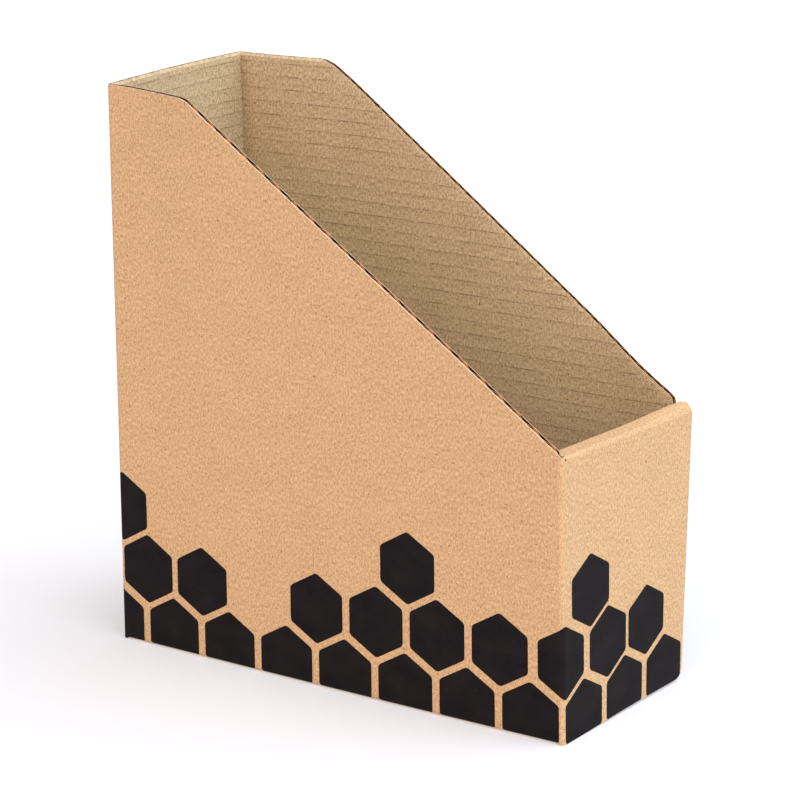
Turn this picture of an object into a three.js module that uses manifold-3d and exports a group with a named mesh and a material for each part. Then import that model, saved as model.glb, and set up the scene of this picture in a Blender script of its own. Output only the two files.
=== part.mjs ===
// Magazine file holder: one die-cut sheet of single-wall corrugated board, folded into an open file.
// Millimetres, +Z up. The origin is under the middle of the base. The low front wall faces -Y.
//
// Every panel between two creases is a board of three papers: an outer liner, a fluted medium and an
// inner liner. Each paper of each panel is one mesh. Panels that meet at a crease are mitred there.

import * as THREE from 'three';
import { mergeVertices } from 'three/addons/utils/BufferGeometryUtils.js';
import Module from 'manifold-3d';

// Driving dimensions
const WIDTH = 120;
const DEPTH = 290;
const HEIGHT = 310;
const FRONT_HEIGHT = 150;
const FRONT_TAPER = 5; // the front wall is this much narrower at its foot than at its top
const FLAT_TOP = 57; // length of the side walls' level top edge, from the back
const BEND_REACH = 6; // how far the rounded bend between level and sloping edge reaches each way
const RIGHT_STEP = 1.5; // the right wall's sloping edge ends this far above the strip, right behind it
const BOARD = 3.8; // C-flute board
const LINER = 0.3;
const MEDIUM = 0.22;
const FLUTE_PITCH = 7.2;
const FLUTE_STEPS = 8; // straight pieces in one wave of the medium
const PLY_GAP = 0.05; // between the papers of one board
const CREASE_GAP = 0.3; // between two panels at a crease
const SLIP = 0.3; // between boards that lie on each other
const END_GAP = 1; // between a tucked panel's ends and the side walls
const SIDE_FLAP_LENGTH = 60;
const FLOOR_FLAP_HEIGHT = 36;
const FLOOR_FLAP_GAP = 4; // between the floor's front flap and the side flap above it
const CORNER_CUT = 6; // how far the rounded lower corner of the front wall reaches each way

// Places worked out from them
const left = -WIDTH / 2;
const right = WIDTH / 2;
const front = -DEPTH / 2;
const back = DEPTH / 2;
const rollOver = 3 * BOARD + 2 * SLIP; // the roll-over strip spans the front wall's three boards
const secondLayer = front + BOARD + SLIP; // outer face of the flaps tucked behind the outer front wall
const thirdLayer = front + rollOver; // inside face of the inner front wall
const rightLining = right - BOARD - SLIP; // outer face of the floor flap that lines the right wall
const insideLining = rightLining - BOARD; // inner face of the same flap
const backLining = back - BOARD - SLIP; // outer face of the floor flap that lines the back wall
const underStrip = FRONT_HEIGHT - BOARD - SLIP; // top of everything tucked under the roll-over strip
const bend = back - FLAT_TOP;
const behindStrip = thirdLayer + SLIP;

const X = new THREE.Vector3(1, 0, 0);
const Y = new THREE.Vector3(0, 1, 0);
const Z = new THREE.Vector3(0, 0, 1);
const PLANES = { x: ['y', 'z'], y: ['x', 'z'], z: ['x', 'y'] }; // an outline's axes, by extrusion axis

const manifold = await Module();
manifold.setup();

function toSolid(geometry) {
  geometry.deleteAttribute('normal');
  geometry.deleteAttribute('uv');
  const merged = mergeVertices(geometry);
  return new manifold.Manifold(new manifold.Mesh({
    numProp: 3,
    vertProperties: new Float32Array(merged.attributes.position.array),
    triVerts: new Uint32Array(merged.index.array),
  }));
}

function toGeometry(solid) {
  const mesh = solid.getMesh();
  const geometry = new THREE.BufferGeometry();
  geometry.setAttribute('position', new THREE.BufferAttribute(mesh.vertProperties, 3));
  geometry.setIndex(new THREE.BufferAttribute(mesh.triVerts, 1));
  geometry.computeVertexNormals();
  return geometry;
}

function outline(points) {
  return new THREE.Shape(points.map(([a, b]) => new THREE.Vector2(a, b)));
}

// Extrudes an outline, drawn in the two axes of PLANES, along the third axis.
function prism(shape, axis, from, to) {
  const settings = { depth: to - from, bevelEnabled: false, curveSegments: 5 };
  const geometry = new THREE.ExtrudeGeometry(shape, settings);
  const place = new THREE.Matrix4();
  if (axis === 'x') place.makeBasis(Y, Z, X).setPosition(from, 0, 0);
  if (axis === 'y') place.makeBasis(X, Z, Y.clone().negate()).setPosition(0, to, 0);
  if (axis === 'z') place.makeBasis(X, Y, Z).setPosition(0, 0, from);
  return toSolid(geometry.applyMatrix4(place));
}

function common(...solids) {
  return solids.reduce((result, solid) => result.intersect(solid));
}

// Drops the slivers that a mitre leaves of a flute that runs along it.
function largest(solid) {
  return solid.decompose().reduce((a, b) => (b.volume() > a.volume() ? b : a));
}

// A layer of the whole space between two values of one axis.
function slab(axis, a, b) {
  const reach = 2 * (HEIGHT + DEPTH);
  const size = { x: reach, y: reach, z: reach };
  const centre = { x: 0, y: 0, z: 0 };
  size[axis] = Math.abs(b - a);
  centre[axis] = (a + b) / 2;
  const box = new THREE.BoxGeometry(size.x, size.y, size.z);
  return toSolid(box.translate(centre.x, centre.y, centre.z));
}

// Centre line of the medium: a wave with flat crests and troughs, which meet the liners. The first
// trough, on the side away from `rise`, is at zero.
function fluteLine(from, to, middle, rise) {
  const points = [];
  const step = FLUTE_PITCH / FLUTE_STEPS;
  const crest = Math.cos(Math.PI / FLUTE_STEPS); // height of a crest's two ends on a wave 1 high
  for (let i = Math.floor(from / step); i <= Math.ceil(to / step); i += 1) {
    const height = -Math.cos(((i + 0.5) / FLUTE_STEPS) * 2 * Math.PI) / crest;
    points.push(new THREE.Vector2((i + 0.5) * step, middle + rise * height));
  }
  return points;
}

// The same line moved sideways by an equal distance everywhere.
function offsetLine(points, distance) {
  const normals = points.slice(1).map((point, i) => {
    const run = point.clone().sub(points[i]).normalize();
    return new THREE.Vector2(-run.y, run.x);
  });
  return points.map((point, i) => {
    const before = normals[Math.max(i - 1, 0)];
    const after = normals[Math.min(i, normals.length - 1)];
    const mitre = before.clone().add(after).divideScalar(1 + before.dot(after));
    return point.clone().addScaledVector(mitre, distance);
  });
}

// The wavy sheet that fills a board between its liners.
function flutedSheet({ thickness, face, inward, flutes, along }) {
  const middle = face + inward * BOARD / 2;
  const rise = inward * (BOARD / 2 - LINER - PLY_GAP - MEDIUM / 2);
  const line = fluteLine(along[0], along[1], middle, rise);
  const band = [...offsetLine(line, MEDIUM / 2), ...offsetLine(line, -MEDIUM / 2).reverse()];
  const depthFirst = PLANES[flutes][0] === thickness;
  const shape = outline(band.map((p) => (depthFirst ? [p.y, p.x] : [p.x, p.y])));
  const reach = HEIGHT + DEPTH;
  return prism(shape, flutes, -reach, reach);
}

const KRAFT_OUTER = { color: 0xdcb082, roughness: 0.85, metalness: 0 };
const KRAFT_MEDIUM = { color: 0x9c7a52, roughness: 0.95, metalness: 0 };
const KRAFT_INNER = { color: 0xb2956c, roughness: 0.9, metalness: 0 };

const holder = new THREE.Group();
holder.name = 'magazine_file_holder';

function addPaper(name, solid, paper) {
  const mesh = new THREE.Mesh(toGeometry(solid), new THREE.MeshStandardMaterial(paper));
  mesh.name = name;
  holder.add(mesh);
}

// Splits a panel's solid into its three papers. `face` is its outer face on the `thickness` axis,
// `inward` is the direction from there to the inner face, and `flutes` is the axis the flutes run along.
function addPanel(name, panel) {
  const { solid, thickness, face, inward } = panel;
  const depth = (d) => face + inward * d;
  const layer = (a, b) => slab(thickness, depth(a), depth(b));
  addPaper(`${name}_outer_liner`, common(solid, layer(0, LINER)), KRAFT_OUTER);
  addPaper(`${name}_medium`, largest(common(solid, flutedSheet(panel))), KRAFT_MEDIUM);
  addPaper(`${name}_inner_liner`, common(solid, layer(BOARD - LINER, BOARD)), KRAFT_INNER);
}

// Outline of a side wall in Y and Z. `foot` lists its lower front end, up to where the slope starts.
function sideOutline(foot) {
  const [slopeY, slopeZ] = foot[foot.length - 1];
  const slope = new THREE.Vector2(slopeY - bend, slopeZ - HEIGHT).setLength(BEND_REACH);
  const shape = new THREE.Shape();
  shape.moveTo(back, 0);
  shape.lineTo(back, HEIGHT);
  shape.lineTo(bend + BEND_REACH, HEIGHT);
  shape.quadraticCurveTo(bend, HEIGHT, bend + slope.x, HEIGHT + slope.y);
  [...foot].reverse().forEach(([y, z]) => shape.lineTo(y, z));
  shape.closePath();
  return shape;
}

function leftSide() {
  const plan = outline([
    [left, front + CREASE_GAP], [left + BOARD, front + BOARD + CREASE_GAP],
    [left + BOARD, back - BOARD - CREASE_GAP], [left, back - CREASE_GAP],
  ]);
  const section = outline([[left, 0], [left + BOARD, BOARD], [left + BOARD, HEIGHT], [left, HEIGHT]]);
  const side = sideOutline([[front, 0], [front, FRONT_HEIGHT]]);
  return common(
    prism(plan, 'z', 0, HEIGHT), prism(section, 'y', front, back), prism(side, 'x', left, 0),
  );
}

function rightSide() {
  const plan = outline([
    [right, secondLayer + CREASE_GAP], [right, back - CREASE_GAP],
    [right - BOARD, back - BOARD - CREASE_GAP], [right - BOARD, secondLayer + BOARD + CREASE_GAP],
  ]);
  const side = sideOutline([
    [secondLayer, 0], [secondLayer, underStrip],
    [behindStrip, underStrip], [behindStrip, FRONT_HEIGHT + RIGHT_STEP],
  ]);
  return common(prism(plan, 'z', 0, HEIGHT), prism(side, 'x', 0, right));
}

function backWall() {
  const plan = outline([
    [left, back], [left + BOARD, back - BOARD], [right - BOARD, back - BOARD], [right, back],
  ]);
  return prism(plan, 'z', 0, HEIGHT);
}

function frontOuter() {
  const plan = outline([
    [left, front], [right, front], [right, front + BOARD], [left + BOARD, front + BOARD],
  ]);
  const section = outline([
    [front, 0], [front + BOARD, 0], [front + BOARD, FRONT_HEIGHT - BOARD], [front, FRONT_HEIGHT],
  ]);
  const corner = right - FRONT_TAPER;
  const slant = FRONT_TAPER / FRONT_HEIGHT;
  const face = new THREE.Shape();
  face.moveTo(left, 0);
  face.lineTo(corner - CORNER_CUT, 0);
  face.quadraticCurveTo(corner, 0, corner + slant * CORNER_CUT, CORNER_CUT);
  face.lineTo(right, FRONT_HEIGHT);
  face.lineTo(left, FRONT_HEIGHT);
  face.closePath();
  return common(
    prism(plan, 'z', 0, FRONT_HEIGHT), prism(section, 'x', left, right), prism(face, 'y', front, 0),
  );
}

function rollOverStrip() {
  const section = outline([
    [front + CREASE_GAP, FRONT_HEIGHT], [front + BOARD + CREASE_GAP, FRONT_HEIGHT - BOARD],
    [thirdLayer - BOARD, FRONT_HEIGHT - BOARD], [thirdLayer, FRONT_HEIGHT],
  ]);
  return prism(section, 'x', left + BOARD + END_GAP, right);
}

// The inner front wall swings into the file, so it is narrow enough to pass the floor's right flap.
function frontInner() {
  const top = FRONT_HEIGHT - CREASE_GAP;
  const section = outline([
    [thirdLayer, top], [thirdLayer - BOARD, top - BOARD],
    [thirdLayer - BOARD, BOARD + SLIP], [thirdLayer, BOARD + SLIP],
  ]);
  return prism(section, 'x', left + BOARD + END_GAP, insideLining - END_GAP);
}

function sideFlap() {
  const plan = outline([
    [right - SIDE_FLAP_LENGTH, secondLayer], [right, secondLayer],
    [right - BOARD, secondLayer + BOARD], [right - SIDE_FLAP_LENGTH, secondLayer + BOARD],
  ]);
  return prism(plan, 'z', FLOOR_FLAP_HEIGHT + FLOOR_FLAP_GAP, underStrip);
}

function floorPanel() {
  const section = outline([
    [left + CREASE_GAP, 0], [rightLining, 0],
    [insideLining, BOARD], [left + BOARD + CREASE_GAP, BOARD],
  ]);
  const lengthwise = outline([
    [secondLayer, 0], [backLining, 0], [backLining - BOARD, BOARD], [secondLayer + BOARD, BOARD],
  ]);
  return common(prism(section, 'y', front, back), prism(lengthwise, 'x', left, right));
}

// Section of a floor flap, turned up from the floor's edge at `edge`; the floor lies towards `inward`.
function flapSection(edge, inward) {
  return outline([
    [edge, CREASE_GAP], [edge, FLOOR_FLAP_HEIGHT],
    [edge + inward * BOARD, FLOOR_FLAP_HEIGHT], [edge + inward * BOARD, BOARD + CREASE_GAP],
  ]);
}

function floorFrontFlap() {
  return prism(flapSection(secondLayer, 1), 'x', left + BOARD + END_GAP, right - BOARD - END_GAP);
}

function floorBackFlap() {
  return prism(flapSection(backLining, -1), 'x', left + BOARD + END_GAP, right - BOARD - END_GAP);
}

function floorRightFlap() {
  const from = thirdLayer + END_GAP;
  const to = backLining - BOARD - END_GAP;
  return prism(flapSection(rightLining, -1), 'y', from, to);
}

const upTo = (height) => [0, height];
const across = [left, right];

// Walls of the sleeve, and the flap that the right wall tucks behind the front
addPanel('left_side', {
  solid: leftSide(),
  thickness: 'x', face: left, inward: 1,
  flutes: 'y', along: upTo(HEIGHT),
});
addPanel('back_wall', {
  solid: backWall(),
  thickness: 'y', face: back, inward: -1,
  flutes: 'x', along: upTo(HEIGHT),
});
addPanel('right_side', {
  solid: rightSide(),
  thickness: 'x', face: right, inward: -1,
  flutes: 'y', along: upTo(HEIGHT),
});
addPanel('side_flap', {
  solid: sideFlap(),
  thickness: 'y', face: secondLayer, inward: 1,
  flutes: 'x', along: upTo(FRONT_HEIGHT),
});

// Front wall, which rolls over into the inner front wall
addPanel('front_outer', {
  solid: frontOuter(),
  thickness: 'y', face: front, inward: 1,
  flutes: 'x', along: upTo(FRONT_HEIGHT),
});
addPanel('rollover_strip', {
  solid: rollOverStrip(),
  thickness: 'z', face: FRONT_HEIGHT, inward: -1,
  flutes: 'x', along: [front, thirdLayer],
});
addPanel('front_inner', {
  solid: frontInner(),
  thickness: 'y', face: thirdLayer, inward: -1,
  flutes: 'x', along: upTo(FRONT_HEIGHT),
});

// Floor and its three flaps
addPanel('floor', {
  solid: floorPanel(),
  thickness: 'z', face: 0, inward: 1,
  flutes: 'y', along: across,
});
addPanel('floor_front_flap', {
  solid: floorFrontFlap(),
  thickness: 'y', face: secondLayer, inward: 1,
  flutes: 'z', along: across,
});
addPanel('floor_back_flap', {
  solid: floorBackFlap(),
  thickness: 'y', face: backLining, inward: -1,
  flutes: 'z', along: across,
});
addPanel('floor_right_flap', {
  solid: floorRightFlap(),
  thickness: 'x', face: rightLining, inward: -1,
  flutes: 'y', along: upTo(FLOOR_FLAP_HEIGHT),
});

export default holder;
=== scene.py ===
"""Looks for the magazine file holder: one folded sheet of corrugated board with a printed border.

Each paper of the board is drawn flat in sheet coordinates and then folded. On the sleeve, u runs round
the walls from the front wall's free edge and v is the height. Where v is below 0 it is the floor, which
hangs on the left wall's foot. Depth runs from the outer face inwards. Lengths are in millimetres until a
mesh is made, which takes metres.
"""
import math

import bmesh
import bpy
from mathutils import Matrix, Vector, noise


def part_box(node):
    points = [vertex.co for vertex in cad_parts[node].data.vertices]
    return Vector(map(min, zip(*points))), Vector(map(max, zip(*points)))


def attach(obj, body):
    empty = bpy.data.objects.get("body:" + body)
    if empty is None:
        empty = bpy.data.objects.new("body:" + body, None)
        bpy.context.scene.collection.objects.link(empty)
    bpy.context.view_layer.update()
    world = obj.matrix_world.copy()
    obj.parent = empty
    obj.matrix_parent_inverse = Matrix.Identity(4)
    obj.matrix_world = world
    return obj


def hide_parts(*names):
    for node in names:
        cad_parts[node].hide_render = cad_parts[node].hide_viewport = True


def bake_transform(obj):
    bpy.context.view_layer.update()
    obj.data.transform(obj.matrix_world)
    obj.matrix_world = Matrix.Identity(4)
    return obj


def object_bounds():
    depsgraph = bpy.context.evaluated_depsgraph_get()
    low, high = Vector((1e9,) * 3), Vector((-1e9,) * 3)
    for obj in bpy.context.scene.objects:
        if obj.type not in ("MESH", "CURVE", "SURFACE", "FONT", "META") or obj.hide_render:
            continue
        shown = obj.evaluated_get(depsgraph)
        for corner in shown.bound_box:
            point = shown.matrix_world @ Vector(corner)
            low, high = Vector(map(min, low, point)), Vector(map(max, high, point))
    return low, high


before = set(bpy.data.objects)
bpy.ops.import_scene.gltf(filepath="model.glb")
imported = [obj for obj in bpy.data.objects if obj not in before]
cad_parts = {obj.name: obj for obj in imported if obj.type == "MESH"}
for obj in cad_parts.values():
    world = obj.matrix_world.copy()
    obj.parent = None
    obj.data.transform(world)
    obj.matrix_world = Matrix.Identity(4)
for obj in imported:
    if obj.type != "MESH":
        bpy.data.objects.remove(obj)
cad_low, cad_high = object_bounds()

MM = 0.001

# The board. Its papers are thicker than the CAD's, so that the cut edges read as three plies
BOARD = 3.8
LINER = 0.45
MEDIUM = 0.5
FLUTE_PITCH = 7.2
FLAT_TOP = 57
BEND_REACH = 6
RIGHT_STEP = 1.5
CORNER_CUT = 6
FRONT_TAPER = 5

# Folds
FOLD_RADIUS = 2.5  # of the outer face round a fold
CRUSHED = 0.62  # share of the board's thickness that is left at a fold
RELEASE = 1.25  # from the end of a fold's curve to where the board is whole again
TIP = 1.6  # how fast the left wall's foot starts to curve, next to the two lower corners
OPEN_EDGE = 0.92  # share of the thickness that is left at the left wall's top edge and at both slopes
CLOSED_EDGE = 0.5  # and at the level top edges of the back and the right wall
EDGE_REACH = 1.2  # from such an edge to where the board is whole again
LEVEL_CHANGE = 10  # length over which the left wall's open top edge closes towards the back

# How the folded board has settled: shifts of the upper corners, and bows of its free edges
FRONT_LEFT_SHIFT = Vector((-0.8, 1.0, 1.7))
FRONT_RIGHT_SHIFT = Vector((1.2, -1.2, -1.4))
BACK_LEFT_SHIFT = Vector((1.2, -1.2, 0))
BACK_RIGHT_SHIFT = Vector((-1.4, 1.45, 0))
RIGHT_BOW = 7.2
RIGHT_BOW_START = 22  # from the front to where the right wall's bow starts
RIGHT_BOW_RISE = 42  # from there to where it is full
RIGHT_BOW_FALL = 80  # length before the back over which it dies out
LEFT_BOW = 4.6
LEFT_BOW_RATE = 1.25  # it grows evenly from the front, and is full at 1 / 1.25 of the depth
LEFT_BOW_FALL = 70  # length before the back over which the left wall's bow and sag die out
LEFT_SAG = 1.6  # of the left wall's top edge, downwards
LEFT_SAG_RISE = 200  # from the front to where the sag is full
BACK_BOW = 2.5
BACK_BOW_RUN = 60  # length of the side walls that follows the back wall's bow
FOOT_BOW = 1.0
FOOT_HEIGHT = 130  # height at which the foot's shifts have died out
FRONT_FOOT_LIFT = 1.4
FRONT_FOOT_SHARE = 0.6  # of the width, from the left, over which the front's foot rises
FRONT_FOOT_RUN = 60  # length behind the front over which that lift dies out
STRIP_LIFT = 2.8  # of the strip's right end, upwards and forwards
STRIP_LIFT_FROM = 0.55  # share of the width at which it starts
STRIP_LIFT_HEIGHT = 100  # height at which it starts
STRIP_LIFT_RISE = 45  # from that height to where it is full
STRIP_LIFT_FRONT = 7  # length behind the front over which it grows
STRIP_LIFT_BACK = 12  # from the front to where it starts to die out
STRIP_LIFT_FALL = 50  # length over which it dies out
CORNER_POST = 3.2  # of the front wall's top, next to the left wall, that stands beside the strip's end
FLAP_RUN = 20  # of the floor that is drawn to place a flap's fold

# Flutes
TIP_PHASE = 0.5  # where in a wave, counted from the base, the medium touches the inner liner
AMPLITUDE = BOARD / 2 - LINER - MEDIUM / 2
WASHBOARD = 0.12  # how far the inner liner sinks between the flutes' tips
ROWS = (0, 0.06, 0.14, 0.28, 0.5, 0.72, 0.86, 0.94)  # cuts of the inner liner in one wave
WAVE_STEPS = 8

# Printed border
CELL_PITCH = 38.8
CELL_WIDTH = 34.3  # across the flats
CELL_RADIUS = 1.8
FIRST_ROW = 10.5  # height of the lowest row's centres
PRINT_SHIFT = 0.5
INK = 0.03  # height of the ink over the paper


def box(node):
    low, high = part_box(node)
    return [c / MM for c in low], [c / MM for c in high]


left = cad_low.x / MM
right = cad_high.x / MM
front = cad_low.y / MM
back = cad_high.y / MM
height = cad_high.z / MM
flap_low, flap_high = box("side_flap_outer_liner")
floor_low, floor_high = box("floor_outer_liner")
strip_low, strip_high = box("rollover_strip_outer_liner")
inner_low, inner_high = box("front_inner_outer_liner")
lining_low, lining_high = box("floor_right_flap_outer_liner")
front_height = strip_high[2]


def smooth(share):
    share = min(max(share, 0), 1)
    return share * share * (3 - 2 * share)


def squeezed(depth, share):
    """Depth once the board is squeezed to a share of its thickness; the liners keep their own."""
    lost = BOARD * (1 - share)
    if depth <= LINER:
        return depth
    if depth >= BOARD - LINER:
        return depth - lost
    core = BOARD - 2 * LINER
    return LINER + (depth - LINER) * (core - lost) / core


class Folds:
    """Section through board that is folded at right angles, each time inwards.

    Maps a distance along the outer face, and a depth below it, to a place in the section.
    """

    def __init__(self, corners, side):
        self.corners = [Vector(corner) for corner in corners]
        legs = [b - a for a, b in zip(self.corners, self.corners[1:])]
        self.starts = [0]
        for leg in legs:
            self.starts.append(self.starts[-1] + leg.length)
        self.runs = [leg.normalized() for leg in legs]
        self.inward = [side * Vector((run.y, -run.x)) for run in self.runs]
        self.folds = self.starts[1:-1]

    def thickness(self, along):
        """Share of the board's thickness that is left at this distance."""
        nearest = min(abs(along - fold) for fold in self.folds)
        return 1 - (1 - CRUSHED) * (1 - smooth((nearest - FOLD_RADIUS) / RELEASE))

    def place(self, along, depth):
        for i, fold in enumerate(self.folds):
            past = along - fold
            if abs(past) < FOLD_RADIUS:
                before = self.inward[i]
                after = self.inward[i + 1]
                angle = (past / FOLD_RADIUS + 1) * math.pi / 4
                outward = before * math.cos(angle) + after * math.sin(angle)
                centre = self.corners[i + 1] + (before + after) * FOLD_RADIUS
                return centre - outward * (FOLD_RADIUS - depth)
        leg = sum(along > fold for fold in self.folds)
        return self.corners[leg] + self.runs[leg] * (along - self.starts[leg]) + self.inward[leg] * depth


tucked = flap_low[1]  # outer face of the flap behind the front wall
sleeve = Folds(
    [(right, front), (left, front), (left, back), (right, back), (right, tucked), (flap_low[0], tucked)], 1)
foot = Folds([(left, height), (left, 0), (floor_high[0], 0), (floor_high[0], lining_high[2])], -1)
rolled = Folds(
    [(front, 0), (front, front_height), (strip_high[1], front_height), (strip_high[1], inner_low[2])], 1)

front_left, back_left, back_right, front_right = sleeve.folds
crest_line = rolled.folds[0]
inner_crest_line = rolled.folds[1]
sleeve_end = sleeve.starts[-1]
floor_from = front_left + floor_low[1] - front + FOLD_RADIUS
floor_to = front_left + floor_high[1] - front - FOLD_RADIUS
floor_edge = height - foot.folds[1]
lining_end = height - foot.starts[-1]


def settle(x, y, z):
    """Bows and leans of the folded board: a shift that changes slowly from place to place."""
    across = (x - left) / (right - left)
    along = (y - front) / (back - front)
    up = z / (front_height + (height - front_height) * along)
    front_shift = FRONT_LEFT_SHIFT.lerp(FRONT_RIGHT_SHIFT, across)
    back_shift = BACK_LEFT_SHIFT.lerp(BACK_RIGHT_SHIFT, across)
    shift = front_shift.lerp(back_shift, along) * up
    # The side walls' tops stand apart, held together by the back and the front
    bow = RIGHT_BOW * up * up * smooth(across) * smooth((back - y) / RIGHT_BOW_FALL)
    shift.x += bow * smooth((y - front - RIGHT_BOW_START) / RIGHT_BOW_RISE)
    from_back = smooth((back - y) / LEFT_BOW_FALL)
    shift.x -= LEFT_BOW * up * up * smooth(1 - across) * from_back * max(min(along * LEFT_BOW_RATE, 1), 0)
    shift.z -= LEFT_SAG * up * smooth(1 - across) * from_back * smooth((y - front) / LEFT_SAG_RISE)
    shift.y += BACK_BOW * up * arch(across) * smooth((y - back + BACK_BOW_RUN) / BACK_BOW_RUN)
    # The feet of the left and the front wall
    low = smooth(1 - z / FOOT_HEIGHT)
    shift.x -= FOOT_BOW * arch(along) * low * smooth(1 - across)
    foot_lift = FRONT_FOOT_LIFT * low * smooth(across / FRONT_FOOT_SHARE)
    shift.z += foot_lift * smooth(1 - (y - front) / FRONT_FOOT_RUN)
    # The strip's right end lies on the right wall's corner
    lift = smooth((across - STRIP_LIFT_FROM) / (1 - STRIP_LIFT_FROM))
    lift *= smooth((z - STRIP_LIFT_HEIGHT) / STRIP_LIFT_RISE)
    lift *= STRIP_LIFT * smooth((y - front) / STRIP_LIFT_FRONT)
    lift *= smooth(1 - (y - front - STRIP_LIFT_BACK) / STRIP_LIFT_FALL)
    return Vector((x, y - lift, z + lift)) + shift


def arch(share):
    return math.sin(math.pi * min(max(share, 0), 1))


def edge_share(u, v):
    """Share of the thickness that the die has left near the side walls' and the back's top edges."""
    if not front_left < u <= strip_step:
        return 1
    level = CLOSED_EDGE + (OPEN_EDGE - CLOSED_EDGE) * smooth((back_left - u) / LEVEL_CHANGE)
    shares = []
    for (corner, outward), share in zip(TOP_EDGES, (level, OPEN_EDGE, OPEN_EDGE)):
        distance = (corner - Vector((u, v))).dot(outward)
        shares.append(share + (1 - share) * smooth(distance / EDGE_REACH))
    return min(shares)


def on_sleeve(u, v, depth):
    """Place of a point of the sleeve or the floor."""
    on_left = front_left < u < back_left
    share = sleeve.thickness(u) if v > 0 else 1
    if on_left:
        share = min(share, foot.thickness(height - v))
    if u < front_left and v > 0:
        share = min(share, rolled.thickness(min(v, crest_line)))
    elif v > 0:
        share = min(share, edge_share(u, v))
    depth = squeezed(depth, share)
    x, y = sleeve.place(u, depth)
    z = v
    if on_left and v < FOLD_RADIUS:
        started = smooth((u - front_left - FOLD_RADIUS) / TIP) * smooth((back_left - FOLD_RADIUS - u) / TIP)
        foot_x, foot_z = foot.place(height - v, depth)
        x += (foot_x - x) * started
        z += (foot_z - z) * started
    return settle(x, y, z)


def on_section(folds):
    """Placing on board that is folded in the yz plane, with x across it."""
    def place(w, x, depth):
        y, z = folds.place(w, squeezed(depth, folds.thickness(w)))
        return settle(x, y, z)
    return place


# ---------------------------------------------------------------- flat sheets

def ragged(outline, seed, step=2.2, depth=0.13):
    """The outline with the small unevenness of a cut through board."""
    points = []
    for (u0, v0), (u1, v1) in zip(outline, outline[1:] + outline[:1]):
        run = Vector((u1 - u0, v1 - v0))
        normal = Vector((run.y, -run.x)).normalized()
        count = max(1, round(run.length / step))
        for i in range(count):
            point = Vector((u0, v0)) + run * i / count
            shift = depth * noise.noise((point.x / 3, point.y / 3, seed))
            points.append(point + normal * shift)
    return points


def curve(corner, before, after, steps=5):
    """Points of a rounded corner between a point before it and a point after it."""
    corner, before, after = Vector(corner), Vector(before), Vector(after)
    shares = [i / steps for i in range(steps + 1)]
    return [tuple(before * (1 - t) ** 2 + corner * 2 * t * (1 - t) + after * t * t) for t in shares]


def spread(low, high, step):
    """Evenly spaced values between two limits, both left out."""
    count = max(1, math.ceil((high - low) / step))
    return [low + (high - low) * i / count for i in range(1, count)]


def near_folds(folds):
    """Lines that a sheet is cut along round its folds."""
    reach = FOLD_RADIUS + RELEASE
    offsets = [i * FOLD_RADIUS / 4 for i in range(-4, 5)]
    offsets += [side * (FOLD_RADIUS + RELEASE * i / 4) for side in (-1, 1) for i in range(1, 5)]
    return sorted(fold + offset for fold in folds for offset in offsets if abs(offset) <= reach)


def at_u(values):
    return [((value, 0), (1, 0)) for value in values]


def at_v(values):
    return [((0, value), (0, 1)) for value in values]


def cut_along(flat, lines, clear_outer=False):
    """Cuts a flat mesh along lines, each given by a point and a normal."""
    for point, normal in lines:
        geometry = flat.verts[:] + flat.edges[:] + flat.faces[:]
        bmesh.ops.bisect_plane(flat, geom=geometry, dist=1e-4, plane_co=(*point, 0), plane_no=(*normal, 0),
                               clear_outer=clear_outer)


def paper(name, flat, place, upper, lower, materials, turned=False):
    """Closed sheet between two depths, folded into place, with a UV map of sheet coordinates in metres.

    The materials are those of its upper side, its lower side and its rim. `turned` swaps the map's two
    coordinates, so that the second one is always that in which the flutes follow one another.
    """
    flat.verts.index_update()
    corners = [(v.co.x, v.co.y) for v in flat.verts]
    count = len(corners)
    points = [place(u, v, depth(u, v)) for depth in (upper, lower) for u, v in corners]
    faces = []
    for face in flat.faces:
        ring = [v.index for v in face.verts]
        faces.append(ring)
        faces.append([i + count for i in reversed(ring)])
    for edge in flat.edges:
        if edge.is_boundary:
            loop = edge.link_loops[0]
            a, b = loop.vert.index, loop.link_loop_next.vert.index
            faces.append([b, a, a + count, b + count])
    mesh = bpy.data.meshes.new(name)
    mesh.from_pydata([Vector(p) * MM for p in points], [], faces)
    layer = mesh.uv_layers.new(name="sheet")
    for loop in mesh.loops:
        u, v = corners[loop.vertex_index % count]
        layer.data[loop.index].uv = (v * MM, u * MM) if turned else (u * MM, v * MM)
    checked = bmesh.new()
    checked.from_mesh(mesh)
    bmesh.ops.recalc_face_normals(checked, faces=checked.faces)
    checked.to_mesh(mesh)
    checked.free()
    mesh.shade_smooth()
    mesh.set_sharp_from_angle(angle=math.radians(40))
    for material in materials:
        mesh.materials.append(material)
    for polygon in mesh.polygons:
        sides = {index < count for index in polygon.vertices}
        if len(sides) == 2:
            polygon.material_index = 2
        else:
            polygon.material_index = 0 if True in sides else 1
    piece = bpy.data.objects.new(name, mesh)
    bpy.context.collection.objects.link(piece)
    return piece


# ---------------------------------------------------------------- materials

def nodes_of(name):
    material = bpy.data.materials.new(name)
    material.use_nodes = True
    tree = material.node_tree
    tree.nodes.clear()
    output = tree.nodes.new("ShaderNodeOutputMaterial")
    shader = tree.nodes.new("ShaderNodeBsdfPrincipled")
    tree.links.new(shader.outputs["BSDF"], output.inputs["Surface"])
    shader.inputs["Specular IOR Level"].default_value = 0.25
    return material, tree, shader


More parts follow.
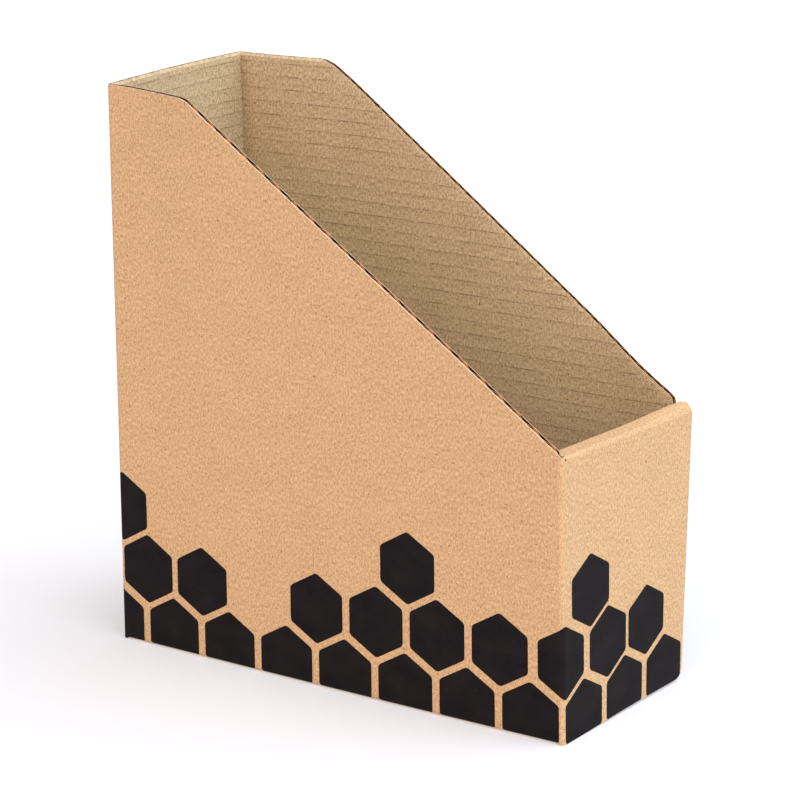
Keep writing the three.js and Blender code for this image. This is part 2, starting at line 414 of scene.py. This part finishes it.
def sheet_noise(tree, scale, detail=3, roughness=0.6, offset=0):
    """Noise over the sheet; scale is features per metre along and across the sleeve."""
    source = tree.nodes.new("ShaderNodeUVMap")
    source.uv_map = "sheet"
    mapping = tree.nodes.new("ShaderNodeMapping")
    mapping.inputs["Scale"].default_value = (*scale, 1)
    mapping.inputs["Location"].default_value = (offset, offset / 2, 0)
    texture = tree.nodes.new("ShaderNodeTexNoise")
    texture.inputs["Scale"].default_value = 1
    texture.inputs["Detail"].default_value = detail
    texture.inputs["Roughness"].default_value = roughness
    tree.links.new(source.outputs["UV"], mapping.inputs["Vector"])
    tree.links.new(mapping.outputs["Vector"], texture.inputs["Vector"])
    return texture.outputs["Fac"]


def ramp(tree, value, low, high, from_value=0, to_value=1):
    """The value stretched so that low gives from_value and high gives to_value."""
    node = tree.nodes.new("ShaderNodeMapRange")
    tree.links.new(value, node.inputs["Value"])
    limits = {"From Min": low, "From Max": high, "To Min": from_value, "To Max": to_value}
    for socket, number in limits.items():
        node.inputs[socket].default_value = number
    return node.outputs["Result"]


def mixed(tree, share, a, b, mode="MIX"):
    """Two colours mixed by a share; each is a socket or a tuple, and so is the share."""
    node = tree.nodes.new("ShaderNodeMix")
    node.data_type = "RGBA"
    node.blend_type = mode
    for socket, value in (("Factor", share), ("A", a), ("B", b)):
        target = next(s for s in node.inputs if s.name == socket and s.enabled)
        if isinstance(value, bpy.types.NodeSocket):
            tree.links.new(value, target)
        elif socket == "Factor":
            target.default_value = value
        else:
            target.default_value = (*value, 1)
    return next(s for s in node.outputs if s.enabled)


def combined(tree, operation, a, b):
    node = tree.nodes.new("ShaderNodeMath")
    node.operation = operation
    for socket, value in zip(node.inputs, (a, b)):
        if isinstance(value, bpy.types.NodeSocket):
            tree.links.new(value, socket)
        else:
            socket.default_value = value
    return node.outputs[0]


def linear(red, green, blue):
    """Linear colour of an sRGB one that is given in 0 to 255."""
    return tuple(((c / 255 + 0.055) / 1.055) ** 2.4 for c in (red, green, blue))


def kraft(name, light, dark, speck, lines=0.0):
    """Unbleached paper: fine mottled fibres, sparse dark specks and, on the inside, flute lines."""
    material, tree, shader = nodes_of(name)
    clouds = sheet_noise(tree, (45, 60), 3, 0.6)
    mottle = sheet_noise(tree, (950, 520), 2, 0.6, 3.1)
    grain = sheet_noise(tree, (2300, 1500), 2, 0.6, 7.7)
    fibres = combined(tree, "MULTIPLY", combined(tree, "ADD", mottle, grain), 0.5)
    tone = combined(tree, "ADD", ramp(tree, fibres, 0.38, 0.62), ramp(tree, clouds, 0.3, 0.7, -0.05, 0.05))
    colour = mixed(tree, tone, dark, light)
    strokes = ramp(tree, sheet_noise(tree, (1500, 420), 2, 0.5, 21.7), 0.69, 0.73)
    colour = mixed(tree, combined(tree, "MULTIPLY", strokes, 0.3), colour, speck)
    specks = ramp(tree, sheet_noise(tree, (620, 720), 2, 0.5, 12.3), 0.668, 0.7)
    colour = mixed(tree, combined(tree, "MULTIPLY", specks, 0.8), colour, speck)
    if lines:
        colour = mixed(tree, combined(tree, "MULTIPLY", flute_lines(tree), lines), colour, speck)
    tree.links.new(colour, shader.inputs["Base Color"])
    tree.links.new(ramp(tree, fibres, 0.3, 0.7, 0.92, 0.8), shader.inputs["Roughness"])
    bump = tree.nodes.new("ShaderNodeBump")
    bump.inputs["Strength"].default_value = 0.5
    bump.inputs["Distance"].default_value = 0.00008
    tree.links.new(fibres, bump.inputs["Height"])
    tree.links.new(bump.outputs["Normal"], shader.inputs["Normal"])
    return material


def flute_lines(tree):
    """Narrow, uneven dark lines on the paper, one over each of the flutes' tips."""
    source = tree.nodes.new("ShaderNodeUVMap")
    source.uv_map = "sheet"
    split = tree.nodes.new("ShaderNodeSeparateXYZ")
    tree.links.new(source.outputs["UV"], split.inputs["Vector"])
    waver = ramp(tree, sheet_noise(tree, (40, 70), 3, 0.6, 5.5), 0, 1, -0.05, 0.05)
    turns = combined(tree, "MULTIPLY", split.outputs["Y"], 1 / (FLUTE_PITCH * MM))
    turns = combined(tree, "ADD", turns, waver)
    away = combined(tree, "PINGPONG", combined(tree, "SUBTRACT", turns, TIP_PHASE), 0.5)
    line = ramp(tree, away, 0.02, 0.07, 1, 0)
    broken = ramp(tree, sheet_noise(tree, (90, 40), 3, 0.65, 9.2), 0.4, 0.6, 0.1, 1)
    return combined(tree, "MULTIPLY", line, broken)


def ink(name):
    """Matt black ink on kraft, with the paper's fibres as faint lighter flecks."""
    material, tree, shader = nodes_of(name)
    shader.inputs["Specular IOR Level"].default_value = 0.1
    fibres = sheet_noise(tree, (900, 1300), 3, 0.6, 2.2)
    clouds = ramp(tree, sheet_noise(tree, (60, 80), 3, 0.6, 4.4), 0.3, 0.7)
    colour = mixed(tree, clouds, linear(15, 11, 12), linear(26, 21, 22))
    flecks = ramp(tree, fibres, 0.68, 0.76)
    colour = mixed(tree, combined(tree, "MULTIPLY", flecks, 0.6), colour, linear(120, 98, 80))
    tree.links.new(colour, shader.inputs["Base Color"])
    tree.links.new(ramp(tree, fibres, 0.3, 0.7, 0.6, 0.75), shader.inputs["Roughness"])
    bump = tree.nodes.new("ShaderNodeBump")
    bump.inputs["Strength"].default_value = 0.3
    bump.inputs["Distance"].default_value = 0.00005
    tree.links.new(fibres, bump.inputs["Height"])
    tree.links.new(bump.outputs["Normal"], shader.inputs["Normal"])
    return material


outer_kraft = kraft("outer_kraft", linear(215, 179, 135), linear(163, 128, 87), linear(92, 60, 36))
inner_kraft = kraft("inner_kraft", linear(209, 188, 150), linear(143, 121, 84), linear(84, 54, 30), 0.5)
medium_kraft = kraft("medium_kraft", linear(196, 134, 84), linear(160, 104, 62), linear(90, 60, 38))
medium_rim = kraft("medium_rim", linear(166, 106, 62), linear(126, 78, 44), linear(60, 40, 26))
# Near-black paper for the faces inside the board, seen only at the cut edges: painted shade of the flutes'
# hollows, a dark copy of the kraft.
painted_shade_kraft = kraft("painted_shade_kraft", linear(30, 23, 18), linear(20, 16, 12), linear(14, 11, 8))
inner_rim = kraft("inner_rim", linear(206, 176, 138), linear(168, 138, 102), linear(96, 70, 48))
# Near-white rim of the outer liner: a painted highlight along its cut edge.
cut_edge_painted_highlight = kraft("cut_edge_painted_highlight", linear(246, 230, 204), linear(222, 196, 160), linear(150, 118, 84))
print_ink = ink("print_ink")


# ---------------------------------------------------------------- the board's three papers

def wave(value):
    return math.cos(2 * math.pi * (value / FLUTE_PITCH - TIP_PHASE))


def sunk(value):
    """Depth that the inner liner loses between two flute tips."""
    return WASHBOARD * abs(math.sin(math.pi * (value / FLUTE_PITCH - TIP_PHASE))) ** 0.6


def wave_lines(low, high, shares, phase=0):
    first = math.floor(low / FLUTE_PITCH) - 1
    last = math.ceil(high / FLUTE_PITCH) + 1
    values = [(i + share + phase) * FLUTE_PITCH for i in range(first, last) for share in shares]
    return [value for value in values if low < value < high]


def board(name, outline, place, nodes, across, reach, lines, seed):
    """The three papers of one board, cut along the given lines and where the flutes bend them.

    `across` is 0 if the flutes follow one another in u and 1 if they do in v; `reach` is the range of
    that coordinate.
    """
    def count(u, v):
        return (u, v)[across]

    def half(u, v):
        slope = AMPLITUDE * 2 * math.pi / FLUTE_PITCH * math.sin(2 * math.pi * count(u, v) / FLUTE_PITCH)
        return MEDIUM / 2 * math.hypot(1, slope)

    middle = BOARD / 2
    # The faces inside the board take the near-black kraft, which is painted shade of the flutes' hollows.
    papers = {
        # The outer liner's near-white rim is a painted highlight along its cut edge.
        "outer_liner": (lambda u, v: 0, lambda u, v: LINER, (outer_kraft, painted_shade_kraft, cut_edge_painted_highlight)),
        "medium": (lambda u, v: middle + AMPLITUDE * wave(count(u, v)) - half(u, v),
                   lambda u, v: middle + AMPLITUDE * wave(count(u, v)) + half(u, v),
                   (medium_kraft, painted_shade_kraft, medium_rim)),
        "inner_liner": (lambda u, v: BOARD - LINER - sunk(count(u, v)),
                        lambda u, v: BOARD - sunk(count(u, v)), (painted_shade_kraft, inner_kraft, inner_rim)),
    }
    made = {}
    low, high = reach
    for number, (ply, (upper, lower, materials)) in enumerate(papers.items()):
        if ply == "outer_liner":
            flute_cuts = spread(low, high, 15)
        elif ply == "medium":
            flute_cuts = wave_lines(low, high, [i / WAVE_STEPS for i in range(WAVE_STEPS)])
        else:
            flute_cuts = wave_lines(low, high, ROWS, TIP_PHASE)
        flat = bmesh.new()
        flat.faces.new([flat.verts.new((u, v, 0)) for u, v in ragged(outline, seed + number)])
        cut_along(flat, lines)
        cut_along(flat, (at_u, at_v)[across](flute_cuts))
        piece = paper(f"{name}_{ply}", flat, place, upper, lower, materials, across == 0)
        flat.free()
        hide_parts(*[f"{node}_{ply}" for node in nodes])
        made[ply] = piece
    return made


# Sleeve and floor
bend_at = back_left - FLAT_TOP
right_bend_at = back_right + FLAT_TOP
slope_left = Vector((front_left - bend_at, front_height - height)).normalized()
strip_step = front_right - (strip_high[1] + 0.3 - tucked)
step_height = front_height + RIGHT_STEP
slope_right = (Vector((strip_step, step_height)) - Vector((right_bend_at, height))).normalized()
wall_top = front_height - FOLD_RADIUS
corner_end = front_left - CORNER_POST

blank = [
    *curve((FRONT_TAPER, 0), (FRONT_TAPER * (1 - CORNER_CUT / front_height), CORNER_CUT),
           (FRONT_TAPER + CORNER_CUT, 0)),
    (floor_from, 0),
    (floor_from, floor_edge),
    (front_left + lining_low[1] - front, floor_edge),
    (front_left + lining_low[1] - front, lining_end),
    (front_left + lining_high[1] - front, lining_end),
    (front_left + lining_high[1] - front, floor_edge),
    (floor_to, floor_edge),
    (floor_to, 0),
    (front_right + FOLD_RADIUS, 0),
    (front_right + FOLD_RADIUS, flap_low[2]),
    (sleeve_end, flap_low[2]),
    (sleeve_end, flap_high[2]),
    (front_right, flap_high[2]),
    (strip_step, flap_high[2]),
    *curve((strip_step, step_height), (strip_step, front_height - 1),
           Vector((strip_step, step_height)) - slope_right * 2),
    *curve((right_bend_at, height), Vector((right_bend_at, height)) + slope_right * BEND_REACH,
           (right_bend_at - BEND_REACH, height)),
    *curve((bend_at, height), (bend_at + BEND_REACH, height),
           Vector((bend_at, height)) + slope_left * BEND_REACH),
    (front_left, front_height),
    (corner_end, front_height),
    (corner_end, wall_top),
    (0, wall_top),
]
TOP_EDGES = [
    (Vector((bend_at, height)), Vector((0, 1))),
    (Vector((bend_at, height)), Vector((slope_left.y, -slope_left.x))),
    (Vector((right_bend_at, height)), Vector((-slope_right.y, slope_right.x))),
]
edge_lines = [(corner - outward * distance, outward) for corner, outward in TOP_EDGES
              for distance in (EDGE_REACH / 3, EDGE_REACH * 2 / 3, EDGE_REACH)]
near_corners = [front_left + FOLD_RADIUS + TIP * i / 3 for i in range(1, 4)]
near_corners += [back_left - FOLD_RADIUS - TIP * i / 3 for i in range(1, 4)]
u_lines = sorted(near_folds(sleeve.folds) + spread(0, sleeve_end, 16) + near_corners)
v_lines = [height - w for w in near_folds(foot.folds)]
v_lines += [line for line in near_folds([front_height]) if line < wall_top]
pieces = board(
    "sleeve", blank, on_sleeve,
    ["left_side", "back_wall", "right_side", "side_flap", "front_outer", "floor", "floor_right_flap"],
    1, (lining_end, height), edge_lines + at_u(u_lines) + at_v(v_lines), 1)
for piece in pieces.values():
    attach(piece, "holder")

# Roll-over strip
strip_left = strip_low[0]
strip_start = crest_line - FOLD_RADIUS
strip_stop = inner_crest_line - FOLD_RADIUS
strip_outline = [
    (strip_start, strip_left), (strip_stop, strip_left),
    *curve((strip_stop, strip_high[0]), (strip_stop, strip_high[0] - 3), (strip_stop - 3, strip_high[0])),
    (strip_start, strip_high[0]),
]
roll_lines = at_u(near_folds(rolled.folds)) + at_v(spread(strip_low[0], strip_high[0], 12))


def crease_ends(fold, depth):
    """The two ends of a fold's curve at a depth, as places."""
    ends = [rolled.place(fold + side * FOLD_RADIUS * 0.999, squeezed(depth, CRUSHED)) for side in (-1, 1)]
    return [settle(0, y, z) * MM for y, z in ends]


depths = {"outer_liner": 0, "medium": BOARD / 2, "inner_liner": BOARD}
pieces = board(
    "rolled_strip", strip_outline, on_section(rolled), ["rollover_strip"], 0, (strip_start, strip_stop),
    roll_lines, 11)
for ply, piece in pieces.items():
    start, end = crease_ends(crest_line, depths[ply])
    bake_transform(piece)
    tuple(start)
    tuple(end)

# Inner front wall
wall_end = rolled.starts[-1]
wall_outline = [
    (strip_stop, inner_low[0]), (wall_end, inner_low[0]),
    (wall_end, inner_high[0]), (strip_stop, inner_high[0]),
]
pieces = board(
    "inner_front_wall", wall_outline, on_section(rolled), ["front_inner"], 0, (strip_stop, wall_end),
    roll_lines, 21)
for ply, piece in pieces.items():
    start, end = crease_ends(inner_crest_line, depths[ply])
    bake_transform(piece)
    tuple(start)
    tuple(end)

# Flaps at the floor's two ends, with upright flutes
for name, edge, inward in (("front", floor_low[1], 1), ("back", floor_high[1], -1)):
    flap_bottom, flap_top = box(f"floor_{name}_flap_outer_liner")
    folds = Folds([(edge + inward * FLAP_RUN, 0), (edge, 0), (edge, flap_top[2])], inward)
    flap_start = FLAP_RUN - FOLD_RADIUS
    flap_end = folds.starts[-1]
    flap_outline = [
        (flap_start, flap_bottom[0]), (flap_end, flap_bottom[0]), (flap_end, flap_top[0]),
        (flap_start, flap_top[0]),
    ]
    lines = at_u(near_folds(folds.folds) + spread(flap_start, flap_end, 12))
    pieces = board(
        f"{name}_floor_flap", flap_outline, on_section(folds), [f"floor_{name}_flap"], 1,
        (flap_bottom[0], flap_top[0]), lines, 31 + inward)
    for piece in pieces.values():
        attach(piece, "holder")


# ---------------------------------------------------------------- printed border

def cell_outline(u, v):
    """Upright hexagon with rounded corners."""
    circumradius = CELL_WIDTH / math.sqrt(3)
    tips = [Vector((u + circumradius * math.sin(a), v + circumradius * math.cos(a)))
            for a in (math.radians(60 * i) for i in range(6))]
    points = []
    for i, tip in enumerate(tips):
        before = (tips[i - 1] - tip).normalized() * CELL_RADIUS
        after = (tips[(i + 1) % 6] - tip).normalized() * CELL_RADIUS
        points += curve(tip, tip + before, tip + after, 4)
    return points


def border_cells():
    """Centres of the printed cells. Places are counted in cells from the front left fold.

    The upper rows are printed a little off to the front and low, most of all round the two left-hand folds.
    """
    last = (front_right - front_left) / CELL_PITCH
    row_1 = [i + 0.5 for i in range(-3, math.ceil(last))]
    row_2 = [i for i in range(-2, math.ceil(last)) if i not in (5, 10, 15)]
    row_3 = [-0.5, 2.5, 7.5, 11.5, 14.5]
    for row, places in enumerate((row_1, row_2, row_3)):
        for j in places:
            u = front_left + j * CELL_PITCH
            v = FIRST_ROW + row * CELL_PITCH * math.sqrt(3) / 2
            near_front = arch((u - front_left + 80) / 100)
            near_back = smooth((u - back_left + 40) / 30)
            forward = 0.03 + 0.07 * near_front + 0.03 * near_back
            down = 0.015 + 0.022 * near_front
            yield u + PRINT_SHIFT - forward * (v - FIRST_ROW), v - down * (v - FIRST_ROW)


flat = bmesh.new()
for u, v in border_cells():
    flat.faces.new([flat.verts.new((a, b, 0)) for a, b in cell_outline(u, v)])
limits = [((0, 0), (0, -1)), ((front_right - 1, 0), (1, 0))]
corner_centre = Vector((FRONT_TAPER + CORNER_CUT, CORNER_CUT))
for degrees in range(180, 271, 15):
    outward = Vector((math.cos(math.radians(degrees)), math.sin(math.radians(degrees))))
    limits.append((corner_centre + outward * CORNER_CUT, outward))
cut_along(flat, limits, clear_outer=True)
cut_along(flat, at_u(u_lines) + at_v(v_lines))
border = paper(
    "honeycomb_print", flat, on_sleeve, lambda u, v: -2 * INK, lambda u, v: -INK, (print_ink,) * 3)
flat.free()
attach(border, "holder")

# ---------------------------------------------------------------- stage, light and camera

def stage_material():
    material, tree, shader = nodes_of("stage")
    source = tree.nodes.new("ShaderNodeTexNoise")
    source.inputs["Scale"].default_value = 6
    colour = mixed(tree, source.outputs["Fac"], (0.5, 0.5, 0.5), (0.53, 0.53, 0.53))
    tree.links.new(colour, shader.inputs["Base Color"])
    shader.inputs["Roughness"].default_value = 0.9
    shader.inputs["Emission Color"].default_value = (1, 1, 1, 1)
    shader.inputs["Emission Strength"].default_value = 0.3
    return material


mesh = bpy.data.meshes.new("floor")
mesh.from_pydata([(-6, -6, 0), (6, -6, 0), (6, 6, 0), (-6, 6, 0)], [], [(0, 1, 2, 3)])
mesh.materials.append(stage_material())
ground = bpy.data.objects.new("floor_stage", mesh)
ground.location.z = -0.0003
bpy.context.collection.objects.link(ground)

def studio_sky():
    """An even white room with two wide soft glows, front right and left, both high."""
    world = bpy.data.worlds.new("studio")
    world.use_nodes = True
    tree = world.node_tree
    direction = tree.nodes.new("ShaderNodeTexCoord").outputs["Generated"]
    total = ROOM
    for toward, colour in GLOWS:
        facing = tree.nodes.new("ShaderNodeVectorMath")
        facing.operation = "DOT_PRODUCT"
        tree.links.new(direction, facing.inputs[0])
        facing.inputs[1].default_value = Vector(toward).normalized()
        glow = combined(tree, "POWER", combined(tree, "MAXIMUM", facing.outputs["Value"], 0), GLOW_SPREAD)
        total = mixed(tree, 1.0, total, mixed(tree, 1.0, colour, grey(tree, glow), "MULTIPLY"), "ADD")
    tree.links.new(total, tree.nodes["Background"].inputs["Color"])
    return world


def grey(tree, value):
    node = tree.nodes.new("ShaderNodeCombineColor")
    for socket in node.inputs:
        tree.links.new(value, socket)
    return node.outputs[0]


ROOM = (0.2, 0.2, 0.2)
GLOWS = (((0.3, -0.6, 0.8), (2.95, 3.35, 3.95)), ((-1, -0.4, 0.8), (2.95, 2.4, 2.3)))
GLOW_SPREAD = 4

scene = bpy.context.scene
scene.view_settings.view_transform = "Standard"
scene.world = studio_sky()

CAMERA_AZIMUTH = math.radians(-54.274)
CAMERA_ELEVATION = math.radians(15.903)
CAMERA_ROLL = math.radians(-0.716)
CAMERA_DISTANCE = 1803.1
CAMERA_ACROSS = 0.42
CAMERA_UP = 139.26
FOCAL_PIXELS = 3316.8
SENSOR = 36

backward = Vector((
    math.sin(CAMERA_AZIMUTH) * math.cos(CAMERA_ELEVATION),
    -math.cos(CAMERA_AZIMUTH) * math.cos(CAMERA_ELEVATION),
    math.sin(CAMERA_ELEVATION),
))
level = Vector((0, 0, 1)).cross(backward).normalized()
upward = backward.cross(level)
camera_x = level * math.cos(CAMERA_ROLL) + upward * math.sin(CAMERA_ROLL)
camera_y = upward * math.cos(CAMERA_ROLL) - level * math.sin(CAMERA_ROLL)
camera_data = bpy.data.cameras.new("camera")
camera_data.lens = FOCAL_PIXELS / 800 * SENSOR
camera_data.sensor_width = SENSOR
camera_data.clip_end = 50
camera = bpy.data.objects.new("camera", camera_data)
camera_place = (backward * CAMERA_DISTANCE + camera_x * CAMERA_ACROSS + camera_y * CAMERA_UP) * MM
turn = Matrix((camera_x, camera_y, backward)).transposed().to_4x4()
camera.matrix_world = Matrix.Translation(camera_place) @ turn
bpy.context.collection.objects.link(camera)
scene.camera = camera
